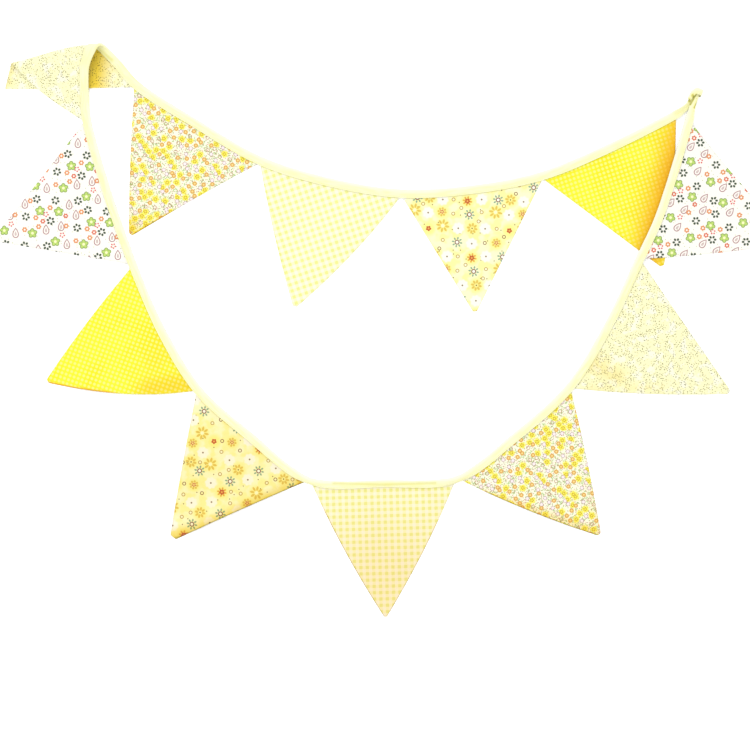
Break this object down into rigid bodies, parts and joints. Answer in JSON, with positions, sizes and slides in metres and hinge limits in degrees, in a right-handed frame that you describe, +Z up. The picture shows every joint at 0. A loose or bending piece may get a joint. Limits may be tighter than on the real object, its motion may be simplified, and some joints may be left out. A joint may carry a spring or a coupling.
{
  "type": "fabric bunting",
  "caption": "Cotton triangle bunting on a folded binding tape, laid flat in a loop, with one flag rolled over and the tape's ends knotted.",
  "frame": {"origin": "middle of the layout's bounding box, on the surface that the bunting lies on", "axes": "+X to the right along the layout's length, from the rolled flag towards the knot; +Y across it, from the lower swag towards the upper one; +Z up from the surface"},
  "size_m": [1.0342, 0.7444, 0.0186],
  "materials": {
    "tape_cotton": "matt plain weave",
    "dotted_cotton": "matt plain weave, small pale dots",
    "daisy_cotton": "matt plain weave, daisies on pale yellow",
    "gingham_cotton": "matt plain weave, woven yellow check",
    "small_floral_cotton": "matt plain weave, very small flowers on cream",
    "speckled_cotton": "matt plain weave, fine dark specks on pale yellow",
    "white_floral_cotton": "matt plain weave, green and orange flowers on white"
  },
  "bodies": {
    "root": {"binding_tape": "tape_cotton", "flag_01_dotted": "dotted_cotton", "flag_02_daisy": "daisy_cotton", "flag_03_gingham": "gingham_cotton", "flag_04_small_floral": "small_floral_cotton", "flag_05_speckled": "speckled_cotton", "flag_06_white_floral": "white_floral_cotton", "flag_07_dotted": "dotted_cotton", "flag_08_daisy": "daisy_cotton", "flag_09_gingham": "gingham_cotton", "flag_10_small_floral": "small_floral_cotton", "flag_11_speckled": "speckled_cotton", "flag_12_white_floral": "white_floral_cotton"}
  },
  "joints": []
}
